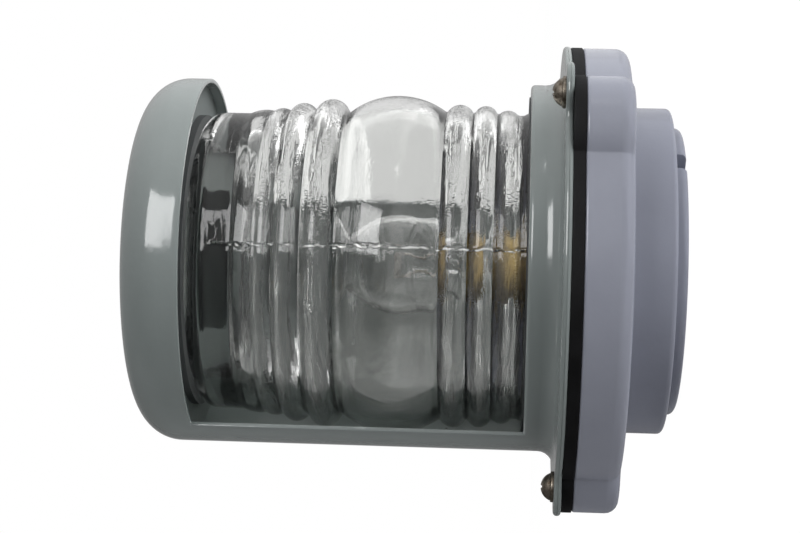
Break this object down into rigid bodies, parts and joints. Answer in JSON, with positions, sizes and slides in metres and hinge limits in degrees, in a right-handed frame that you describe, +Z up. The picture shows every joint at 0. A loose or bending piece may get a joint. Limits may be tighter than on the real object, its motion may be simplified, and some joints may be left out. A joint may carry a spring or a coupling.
{
  "type": "boat navigation light",
  "caption": "Upright masthead navigation light: a painted hood with a wide side window round a ridged clear drum lens and bayonet lamp, screwed to a lobed base.",
  "frame": {"origin": "centre of the base's underside, on the light's axis", "axes": "+Z up the axis towards the cap, -Y out of the middle of the window"},
  "size_m": [0.1558, 0.1637, 0.1896],
  "materials": {
    "hood_paint": "satin grey-green paint",
    "base_paint": "satin lavender-grey paint",
    "rubber": "dull black",
    "lens_glass": "clear moulded glass",
    "bulb_glass": "clear blown glass",
    "brass": "worn brass",
    "steel": "worn steel",
    "zinc": "zinc-plated steel",
    "porcelain": "glazed white porcelain",
    "phenolic": "dark brown phenolic",
    "live_insulation": "red-brown insulation",
    "neutral_insulation": "blue insulation"
  },
  "bodies": {
    "base": {"base_casting": "base_paint", "flange_gasket": "rubber", "cover_inserts": "brass", "gland_body": "brass", "gland_seal": "rubber", "gland_cap": "brass", "holder_bracket": "zinc", "bracket_screws": "steel", "holder_body": "porcelain", "holder_sleeve": "brass", "holder_screws": "steel", "holder_nuts": "steel", "terminal_block": "phenolic", "terminal_screws": "brass", "block_screws": "steel", "live_lead": "live_insulation", "neutral_lead": "neutral_insulation", "contact_spring_left": "steel", "contact_spring_right": "steel"},
    "housing": {"housing_shell": "hood_paint", "lens": "lens_glass", "lens_top_seal": "rubber", "lens_top_plate": "hood_paint", "lens_collar_seal": "rubber", "lens_foot_seal": "rubber", "lens_retaining_ring": "zinc", "retaining_lugs": "zinc", "retaining_screws": "steel", "cover_washers": "steel"},
    "lamp": {"bulb_glass": "bulb_glass", "lamp_cap": "brass", "lamp_insulator": "phenolic", "lamp_contacts": "zinc", "lamp_stem": "bulb_glass", "filament_supports": "steel", "filament": "steel"},
    "contact_left": {"contact_left": "brass"},
    "contact_right": {"contact_right": "brass"},
    "cover_screw_front": {"cover_screw_front": "steel"},
    "cover_screw_right": {"cover_screw_right": "steel"},
    "cover_screw_left": {"cover_screw_left": "steel"}
  },
  "joints": [
    {"name": "housing_lift", "type": "slide", "parent": "base", "child": "housing", "axis": [0, 0, 1], "range_m": [0, 0.11]},
    {"name": "lamp_turn", "type": "hinge", "parent": "base", "child": "lamp", "pos_m": [0, 0, 0.052], "axis": [0, 0, 1], "range_deg": [0, 20]},
    {"name": "contact_left_push", "type": "slide", "parent": "base", "child": "contact_left", "axis": [0, 0, -1], "range_m": [0, 0.0015], "stiffness_N_per_m": 2000, "springref_m": -0.002, "deforming": ["contact_spring_left"]},
    {"name": "contact_right_push", "type": "slide", "parent": "base", "child": "contact_right", "axis": [0, 0, -1], "range_m": [0, 0.0015], "stiffness_N_per_m": 2000, "springref_m": -0.002, "deforming": ["contact_spring_right"]},
    {"name": "cover_screw_front_turn", "type": "hinge", "parent": "housing", "child": "cover_screw_front", "pos_m": [0, -0.077, 0.042], "axis": [0, 0, 1], "continuous": true},
    {"name": "cover_screw_right_turn", "type": "hinge", "parent": "housing", "child": "cover_screw_right", "pos_m": [0.06668, 0.0385, 0.042], "axis": [0, 0, 1], "continuous": true},
    {"name": "cover_screw_left_turn", "type": "hinge", "parent": "housing", "child": "cover_screw_left", "pos_m": [-0.06668, 0.0385, 0.042], "axis": [0, 0, 1], "continuous": true}
  ]
}
